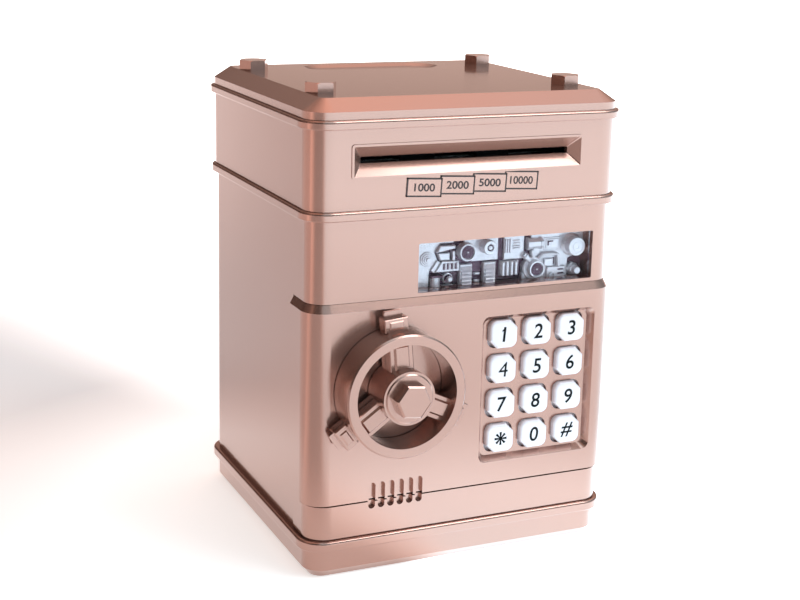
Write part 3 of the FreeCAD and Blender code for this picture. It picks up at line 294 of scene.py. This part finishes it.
SLOT_NODES = {
    "dark_inner": "coin_chute feed_frame note_deflector speaker lock_cam drive_gear",
    "steel": "battery_cover_screw base_screws feed_frame_screws feed_motor door_screws hinge_pins wheel_spindle"
             " latch_tongue lock_solenoid lock_plunger drive_shaft pinch_shaft",
    "rubber": "keypad_membrane drive_rollers pinch_rollers",
    "board": "control_board keypad_board",
    "clear_pane": "window_pane", "relief_silver": "machinery_panel", "cell_wrap": "aa_cells",
    "nickel": "battery_contacts", "brass": "motor_pinion",
}
NODE_SLOTS = {name: "key_white" if name.startswith("key_") else "rose_shell" for name in NODES}
NODE_SLOTS.update({name: slot for slot, names in SLOT_NODES.items() for name in names.split()})


# ---- mesh helpers -------------------------------------------------------------------------------

def finish_piece(name, mesh, materials, body, smooth=35):
    """Link a mesh as a named piece that rides on a CAD body."""
    piece = bpy.data.objects.new(name, mesh)
    for material in materials:
        mesh.materials.append(material)
    bpy.context.scene.collection.objects.link(piece)
    mesh.shade_smooth()
    mesh.set_sharp_from_angle(angle=math.radians(smooth))
    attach(piece, body)
    return piece


def close_mesh(bm, name):
    bmesh.ops.recalc_face_normals(bm, faces=bm.faces)
    mesh = bpy.data.meshes.new(name)
    bm.to_mesh(mesh)
    bm.free()
    return mesh


def bridge(bm, loops, paint=0, closed_end=True):
    """Skin a row of equal vertex loops and cap both ends."""
    rings = [[bm.verts.new(Vector(point) * MM) for point in loop] for loop in loops]
    count = len(rings[0])
    faces = []
    for low, high in zip(rings, rings[1:]):
        for k in range(count):
            n = (k + 1) % count
            faces.append(bm.faces.new((low[k], low[n], high[n], high[k])))
    faces.append(bm.faces.new(rings[0]))
    faces.append(bm.faces.new(rings[-1]))
    for face in faces:
        face.material_index = paint


def inset(points, step):
    """Move a convex outline's sides inwards by step."""
    count = len(points)
    area = sum(points[k][0] * points[(k + 1) % count][1] - points[(k + 1) % count][0] * points[k][1]
               for k in range(count))
    turn = 1 if area > 0 else -1
    moved = []
    for k in range(count):
        before, here, after = (Vector(points[(k + d) % count]) for d in (-1, 0, 1))
        first, second = (here - before).normalized(), (after - here).normalized()
        sides = [Vector((-side.y, side.x)) * turn for side in (first, second)]
        bisector = (sides[0] + sides[1]).normalized()
        moved.append(here + bisector * (step / max(0.35, bisector.dot(sides[0]))))
    return moved


def plate(bm, points, back, face, bevel=0.25, paint=0):
    """A bevelled plate from an outline in x and z; back and face are its places on y."""
    trimmed = inset(points, bevel)
    bridge(bm, [[(x, back, z) for x, z in points], [(x, face + bevel, z) for x, z in points],
                [(x, face, z) for x, z in trimmed]], paint)


def lathe(bm, centre, profile, paint=0, steps=48):
    """A turned shape on an axis along y: profile is (radius, y) from the back to the front."""
    x, z = centre
    turns = [2 * math.pi * k / steps for k in range(steps)]
    bridge(bm, [[(x + r * math.cos(t), y, z + r * math.sin(t)) for t in turns] for r, y in profile], paint)


def tube(bm, path, radius, paint=0, steps=12):
    """A round bar along a path of (x, y, z) points."""
    points = [Vector(point) for point in path]
    loops = []
    for k, here in enumerate(points):
        along = (points[min(k + 1, len(points) - 1)] - points[max(k - 1, 0)]).normalized()
        side = along.cross(Vector((0, 1, 0))).normalized()
        up = side.cross(along)
        turns = [2 * math.pi * n / steps for n in range(steps)]
        loops.append([here + (side * math.cos(t) + up * math.sin(t)) * radius for t in turns])
    bridge(bm, loops, paint)


def block(x, z):
    """A rectangle's outline from its spans in x and z."""
    return [(x[0], z[0]), (x[1], z[0]), (x[1], z[1]), (x[0], z[1])]


# ---- legends ------------------------------------------------------------------------------------

def text_mesh(name, text, height, lean=0.0, bold=0.0, squeeze=1.0):
    """Flat figures, height tall, in the plane of x and z and centred on the origin."""
    curve = bpy.data.curves.new(name, "FONT")
    curve.body, curve.size = text, 1.0
    curve.offset, curve.shear = bold, lean
    curve.resolution_u = 6
    maker = bpy.data.objects.new(name + "_text", curve)
    bpy.context.scene.collection.objects.link(maker)
    mesh = bpy.data.meshes.new_from_object(maker.evaluated_get(bpy.context.evaluated_depsgraph_get()))
    bpy.data.objects.remove(maker)
    xs = [v.co.x for v in mesh.vertices]
    ys = [v.co.y for v in mesh.vertices]
    scale = height / (max(ys) - min(ys))
    for v in mesh.vertices:
        across = (v.co.x - (min(xs) + max(xs)) / 2) * scale * squeeze
        v.co = (across, 0, (v.co.y - (min(ys) + max(ys)) / 2) * scale)
    return mesh


def thicken(mesh, place, depth, turn=0.0):
    """Stand the flat figures at a place and give them a printed film's thickness."""
    bm = bmesh.new()
    bm.from_mesh(mesh)
    bmesh.ops.remove_doubles(bm, verts=bm.verts, dist=1e-7)
    made = bmesh.ops.extrude_face_region(bm, geom=bm.faces[:])
    for item in made["geom"]:
        if isinstance(item, bmesh.types.BMVert):
            item.co.y += depth
    bmesh.ops.recalc_face_normals(bm, faces=bm.faces)
    bm.transform(Matrix.Translation(Vector(place) * MM) @ Matrix.Rotation(math.radians(turn), 4, "Y"))
    bm.to_mesh(mesh)
    bm.free()
    return mesh


KEY_FACE = -61.9
KEY_SPOTS = [(name, 31.6 + (k % 3 - 1) * 15.2, 69.85 + (1.5 - k // 3) * 14.43)
             for k, name in enumerate(["1", "2", "3", "4", "5", "6", "7", "8", "9", "star", "0", "hash"])]


def star_mesh():
    """Eight tapered arms from a small middle."""
    bm = bmesh.new()
    arms = 8
    for k in range(arms):
        angle = math.radians(360 / arms * k)
        out, across = Vector((math.cos(angle), math.sin(angle))), Vector((-math.sin(angle), math.cos(angle)))
        corners = [(0, -0.2), (2.7, -0.5), (2.7, 0.5), (0, 0.2)]
        bm.faces.new([bm.verts.new(((out.x * a + across.x * b) * MM, 0, (out.y * a + across.y * b) * MM))
                      for a, b in corners])
    mesh = bpy.data.meshes.new("legend_star")
    bm.to_mesh(mesh)
    bm.free()
    return mesh


def add_flag(mesh):
    """The short upstroke at the top left of the figure 1."""
    bm = bmesh.new()
    bm.from_mesh(mesh)
    corners = [(0.75, 3.0), (-0.95, 1.75), (-0.95, 1.05), (0.3, 1.95)]
    bm.faces.new([bm.verts.new((x * MM, 0, z * MM)) for x, z in corners])
    bm.to_mesh(mesh)
    bm.free()


def key_legends():
    film, height = 0.04, 6.0 * MM
    for name, x, z in KEY_SPOTS:
        label = f"legend_{name}"
        if name == "star":
            mesh = star_mesh()
        else:
            sign, lean = ("#", 0.2) if name == "hash" else (name, 0.08)
            bold = 0.0 if name == "4" else 0.012
            mesh = text_mesh(label, sign, height, lean, bold)
        if name == "1":
            add_flag(mesh)
        thicken(mesh, (x, KEY_FACE - film, z), 2 * film * MM)
        finish_piece(label, mesh, [PRINT_BLACK], f"key_{name}_cap")


# ---- wheel trim ---------------------------------------------------------------------------------

HUB = (-31.3, 75.5)
DOOR_FACE = -62.3
SPOKE_ANGLES = (95, 215, 335)
SPOKE_HALF, SPOKE_BACK = 4.75, DOOR_FACE - 5.0
HUB_FRONT, NUT_FRONT = DOOR_FACE - 15.5, DOOR_FACE - 20.4
NUT_ACROSS, NUT_TURN = 12.3, -6.5


def spoke_outline(angle, inner, outer, half):
    """A rectangle along a spoke, given its two ends' distances from the hub's middle."""
    out = Vector((math.cos(math.radians(angle)), math.sin(math.radians(angle))))
    across = Vector((-out.y, out.x))
    return [tuple(Vector(HUB) + out * r + across * side)
            for r, side in ((inner, -half), (outer, -half), (outer, half), (inner, half))]


def wheel_trim():
    """Blocks with raised panels on the lugs and spokes, a raised disc on the hub and a chamfered nut."""
    panels, nut = bmesh.new(), bmesh.new()
    for angle in SPOKE_ANGLES:
        plate(panels, spoke_outline(angle, 24.1, 29.3, SPOKE_HALF), SPOKE_BACK, DOOR_FACE - 7.65, 0.3)
        plate(panels, spoke_outline(angle, 9.5, 20.6, SPOKE_HALF), SPOKE_BACK, DOOR_FACE - 10.4, 0.3)
        plate(panels, spoke_outline(angle, 25.2, 28.3, 2.9), DOOR_FACE - 7.2, DOOR_FACE - 8.1, 0.45)
        plate(panels, spoke_outline(angle, 9.8, 19.6, 3.1), DOOR_FACE - 10.0, DOOR_FACE - 11.2, 0.7)
    lathe(panels, HUB, [(9.7, HUB_FRONT + 0.3), (9.7, HUB_FRONT - 0.05), (9.2, HUB_FRONT - 0.45)])
    finish_piece("wheel_panels", close_mesh(panels, "wheel_panels"), [MATERIALS["rose_shell"]], "wheel")
    corner = NUT_ACROSS / math.sqrt(3)
    turns = [math.radians(60 * k + NUT_TURN) for k in range(6)]
    outline = [(HUB[0] + corner * math.cos(t), HUB[1] + corner * math.sin(t)) for t in turns]
    plate(nut, outline, HUB_FRONT, NUT_FRONT, 0.6)
    made = finish_piece("hub_nut_chamfered", close_mesh(nut, "hub_nut_chamfered"), [MATERIALS["rose_shell"]],
                        "wheel")
    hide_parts("hub_nut")


WALL_FACE = -61.8
PLATES = [("1000", -20.1, 152.35), ("2000", -6.3, 152.55), ("5000", 7.4, 152.75), ("10000", 21.1, 152.95)]
PLATE_HALF = (7.35, 3.65)
PLATE_TURN = 3.4


def denomination_plates():
    """Four printed plates, the left ones over the right ones, with dark outlines and figures."""
    faces, lines = bmesh.new(), bmesh.new()
    wide, tall = PLATE_HALF
    rim = 0.6
    turn = Matrix.Rotation(math.radians(PLATE_TURN), 2)

    def laid(points, spot):
        return [(spot[0] + (v := turn.transposed() @ Vector(point)).x, spot[1] + v.y) for point in points]

    for k, (figures, x, z) in enumerate(PLATES):
        face = WALL_FACE - 0.24 + 0.05 * k
        plate(faces, laid(block((-wide, wide), (-tall, tall)), (x, z)), WALL_FACE + 0.02, face, 0.04)
        for xs, zs in (((-wide, wide), (tall - rim, tall)), ((-wide, wide), (-tall, rim - tall)),
                       ((-wide, rim - wide), (-tall, tall)), ((wide - rim, wide), (-tall, tall))):
            plate(lines, laid(block(xs, zs), (x, z)), WALL_FACE, face - 0.03, 0.01)
        text = text_mesh(f"figures_{figures}", figures, 3.1 * MM, 0.0, 0.022,
                         1.14 if len(figures) < 5 else 1.04)
        thicken(text, (x + 0.1, face - 0.03, z), 0.05 * MM, PLATE_TURN)
        finish_piece(f"figures_{figures}", text, [PRINT_BROWN], "case")
    made = finish_piece("denomination_plates", close_mesh(faces, "plates"), [MATERIALS["rose_shell"]], "case")
    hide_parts("denomination_label")
    finish_piece("denomination_outlines", close_mesh(lines, "outlines"), [PRINT_BROWN], "case")


# ---- relief behind the window -------------------------------------------------------------------

RELIEF_BACK = -51.5


def louvres(bm, x, z, count, face):
    """A raised frame of slats that lean forward at their lower edges, each with a dark triangle of painted
    shadow at its right.
    """
    plate(bm, block((x[0] - 0.5, x[1] + 0.7), (z[0] - 0.3, z[1] + 0.4)), RELIEF_BACK, face + 1.3, 0.3)
    pitch = (z[1] - z[0]) / count
    for k in range(count):
        low = z[0] + k * pitch
        corners = [(face, low), (face + 0.3, low + 0.2 * pitch), (face + 1.4, low + 0.85 * pitch),
                   (face + 1.4, low)]
        bridge(bm, [[(side, y, level) for y, level in corners] for side in x])
        # Painted shadow: a dark triangle at the right of each slat, where it shades the frame.
        dark = [(x[1] + 0.02, low), (x[1] + 0.55, low), (x[1] + 0.02, low + 0.85 * pitch)]
        plate(bm, dark, face + 1.4, face + 1.15, 0.02, 1)


def ring_boss(bm, spot, radius, face, bowl, dark=True):
    """A round housing with a rim and a sunk, ribbed dial, its inside painted dark as shade."""
    lathe(bm, spot, [(radius * 1.02, RELIEF_BACK), (radius, face + 0.5), (radius * 0.94, face),
                     (bowl * 1.06, face), (bowl, face + 0.7), (0.01, face + 0.75)])
    if dark:
        # The dial's bowl is laid in the dark material, as painted shade.
        steps = [(bowl * 0.98, face + 0.72), (bowl * 0.94, face + 0.45), (bowl * 0.66, face + 0.5),
                 (bowl * 0.62, face + 0.38), (bowl * 0.34, face + 0.42), (bowl * 0.3, face + 0.3),
                 (0.01, face + 0.3)]
        lathe(bm, spot, steps, 1)
        lathe(bm, spot, [(0.32, face + 0.5), (0.28, face + 0.05), (0.01, face)])


def relief_left(bm):
    """Left half of the relief, from the disc stack to the dark channel."""
    base = RELIEF_BACK - 1.2
    plate(bm, [(-22, 109.9), (-13.2, 109.9), (-12.8, 117.2), (-9.3, 121.0), (-10.8, 124.6), (-8.6, 128),
               (-2.6, 128), (-2.6, 132), (-22, 132)], RELIEF_BACK, base, 0.2)
    plate(bm, [(5.5, 119.8), (16.9, 119.8), (16.9, 132), (1.0, 132), (2.0, 127.6)], RELIEF_BACK, base, 0.2)
    for radius, rise in ((2.9, 0.5), (2.25, 1.0), (1.6, 1.5), (0.9, 2.0)):
        lathe(bm, (-14.1, 122.2), [(radius, base), (radius, base - rise + 0.15), (radius - 0.15,
                                                                                  base - rise)])
    plate(bm, [(-10.6, 124.8), (-8.9, 127.4), (-2.6, 127.2), (-2.6, 126.0), (-8.2, 125.0)], RELIEF_BACK,
          -54.4, 0.3)
    plate(bm, [(-9.8, 124.2), (-4.6, 124.3), (-4.5, 121.3), (-8.6, 121.4)], RELIEF_BACK, -53.6, 0.3)
    plate(bm, [(-3.5, 124.8), (-2.4, 124.8), (-2.3, 121.1), (-3.4, 121.1)], RELIEF_BACK, -53.8, 0.2)
    plate(bm, [(-12.6, 117.7), (-10.0, 121.4), (-8.6, 120.8), (-11.2, 116.6)], RELIEF_BACK, -53.6, 0.2)
    plate(bm, [(-11.0, 116.8), (-8.0, 121.2), (-0.6, 120.8), (-0.4, 116.8)], RELIEF_BACK, -54.0, 0.3)
    for x in (-7.7, -6.0, -4.3, -2.6):
        # A thin dark plate in each groove between the ribs, as painted shade.
        plate(bm, block((x, x + 0.75), (117.7, 120.2)), -53.9, -54.02, 0.02, 1)
        plate(bm, block((x + 0.8, x + 1.5), (117.7, 120.3)), -53.9, -54.5, 0.2)
    barrel = [(-10.3 + 2.1 * math.cos(t), -52.2 - 2.1 * math.sin(t)) for t in
              (math.pi * k / 16 for k in range(17))]
    bridge(bm, [[(x, y, z) for x, y in barrel] for z in (110.4, 115.3)])
    # A dark band of painted shade across the top of the barrel.
    plate(bm, block((-12.7, -7.9), (114.9, 115.7)), RELIEF_BACK, -54.9, 0.15, 1)
    lathe(bm, (-5.1, 114.0), [(2.2, RELIEF_BACK), (2.1, -53.2), (1.7, -53.5), (1.1, -53.5), (1.05, -55.4),
                              (0.8, -55.7)])
    # A dark ring of painted shade on the collar round the bolt's tip.
    lathe(bm, (-5.1, 114.0), [(1.75, -53.5), (1.6, -54.1), (1.1, -54.1)], 1)
    plate(bm, block((-7.4, -2.6), (110, 111.3)), RELIEF_BACK, -53.4, 0.25)
    ring_boss(bm, (2.6, 124.1), 3.6, -55.2, 2.75)
    louvres(bm, (0.5, 4.7), (111.0, 118.6), 5, -54.8)
    louvres(bm, (10.9, 15.0), (111.0, 118.8), 5, -54.8)
    for z in (114.8, 111.8):
        plate(bm, block((6.8, 9.0), (z - 0.4, z + 0.4)), RELIEF_BACK, -53.0, 0.2)
    lathe(bm, (11.5, 125.7), [(3.1, RELIEF_BACK), (2.95, -56.6), (2.7, -56.9), (1.5, -56.9), (1.3, -56.3),
                              (0.9, -56.3),
                              (0.8, -56.8), (0.5, -56.9)])
    # A dark ring of painted shade in the cap's sunk groove.
    lathe(bm, (11.5, 125.7), [(1.42, -56.2), (1.36, -56.4), (0.95, -56.4)], 1)


def relief_right(bm):
    """Right half of the relief, from the ribbed panels to the tall post."""
    base = RELIEF_BACK - 1.2
    plate(bm, [(19.6, 119.4), (28.5, 119.4), (28.5, 132), (19.6, 132)], RELIEF_BACK, base, 0.2)
    plate(bm, [(31.5, 110), (48.6, 110), (48.6, 118), (56, 121), (56, 132), (31.5, 132)], RELIEF_BACK, base,
          0.2)
    for x in (19.9, 20.9, 21.9):
        plate(bm, block((x, x + 0.6), (122.2, 127.6)), base, base - 0.6, 0.15)
    for k, z in enumerate((126.9, 125.8, 124.7, 123.8)):
        plate(bm, block((23.4 + 0.2 * (k % 2), 26.4), (z - 0.22, z + 0.22)), base, base - 0.5, 0.12)
    plate(bm, block((17.9, 25.8), (113.2, 119.0)), RELIEF_BACK, -53.6, 0.2)
    for x in (18.1, 20.0, 21.9, 23.8):
        plate(bm, block((x, x + 1.15), (113.3, 118.9)), -53.5, -54.6, 0.25)
        # A thin dark plate in the gap beside each rib, as painted shade.
        plate(bm, block((x + 1.25, x + 1.8), (113.5, 118.7)), -53.5, -53.62, 0.02, 1)
    octagon = [(2.35 * math.cos(math.radians(a)), 2.35 * math.sin(math.radians(a))) for a in range(23, 383,
                                                                                                   45)]
    for span, size in (((30.6, 35.6), 1.0), ((29.6, 30.8), 1.12), ((35.4, 36.2), 1.12)):
        bridge(bm, [[(x, -52.4 + y * size, 125.2 + z * size) for y, z in octagon] for x in span])
    tube(bm, [(28.0, -53.4, 121.2), (31.0, -53.4, 118.3)], 1.1)
    tube(bm, [(28.6, -53.6, 120.6), (29.2, -53.6, 120.0)], 1.4)
    tube(bm, [(32.0, -53.2, 122.6), (32.8, -53.2, 118.5)], 0.8)
    lathe(bm, (32.6, 115.2), [(4.9, RELIEF_BACK), (4.8, -53.4), (4.4, -53.8)])
    ring_boss(bm, (33.1, 115.2), 3.55, -56.0, 2.65)
    plate(bm, block((27.6, 29.6), (110.6, 113.4)), RELIEF_BACK, -53.4, 0.2)
    for x, z in (((37.3, 44.6), (122.2, 127.2)), ((38.1, 43.8), (122.8, 126.6))):
        plate(bm, block(x, z), base, base - 0.35 * (1 if x[0] < 38 else 2), 0.15)
    # A dark L-shaped groove in the inner frame, as painted shade.
    plate(bm, block((38.7, 39.3), (124.0, 125.8)), base - 0.7, base - 1.0, 0.1, 1)
    plate(bm, block((38.7, 41.2), (125.4, 125.9)), base - 0.7, base - 1.0, 0.1, 1)
    tube(bm, [(34.9, -53.6, 118.9), (36.6, -53.6, 120.5), (37.2, -53.6, 120.7), (42.6, -53.6, 120.5),
              (43.5, -53.6, 120.0), (43.9, -53.6, 115.4)], 0.75)
    plate(bm, block((37.4, 41.4), (115.6, 118.6)), RELIEF_BACK, -53.9, 0.25)
    # A dark bar at the right of the block, as painted shadow.
    plate(bm, block((41.6, 42.5), (115.8, 118.9)), base, base - 0.15, 0.05, 1)
    plate(bm, [(38.6, 110.2), (47.4, 110.2), (47.0, 115.2), (38.8, 115.2)], RELIEF_BACK, -53.8, 0.3)
    lathe(bm, (41.0, 111.6), [(1.5, -53.7), (1.45, -54.3), (1.0, -54.4), (0.8, -53.9), (0.2, -53.9)])
    # Two dark slots, as painted shade.
    for z in (112.0, 113.6):
        plate(bm, block((43.6, 46.4), (z, z + 0.7)), -53.7, -53.85, 0.02, 1)
    lathe(bm, (50.0, 123.6), [(4.7, RELIEF_BACK), (4.6, -53.0), (4.2, -53.3), (4.2, -53.9), (3.85, -54.1),
                              (3.8, -57.3),
                              (3.6, -57.6), (2.7, -57.65), (2.6, -57.5), (1.9, -57.5), (1.8, -57.65),
                              (0.9, -57.65),
                              (0.8, -57.5), (0.2, -57.5)])
    lathe(bm, (51.0, 113.5), [(2.6, RELIEF_BACK), (2.5, -53.0), (2.0, -53.3), (1.95, -54.4), (1.5, -54.5),
                              (1.45, -56.6),
                              (1.25, -56.9), (0.2, -56.9)])


def machinery_relief():
    bm = bmesh.new()
    # A dark backing plate behind the relief: painted shade that shows in the gaps between its pieces.
    plate(bm, block((-23.0, 57.2), (111.3, 133.4)), -49.9, RELIEF_BACK, 0.05, 1)
    relief_left(bm)
    relief_right(bm)
    made = finish_piece("machinery_relief", close_mesh(bm, "relief"),
                        [MATERIALS["relief_silver"], RELIEF_PAINTED_SHADE],
                        "case", 30)
    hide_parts("machinery_panel")


add_camera()
add_studio()
add_floor()
paint_nodes()
key_legends()
wheel_trim()
denomination_plates()
machinery_relief()
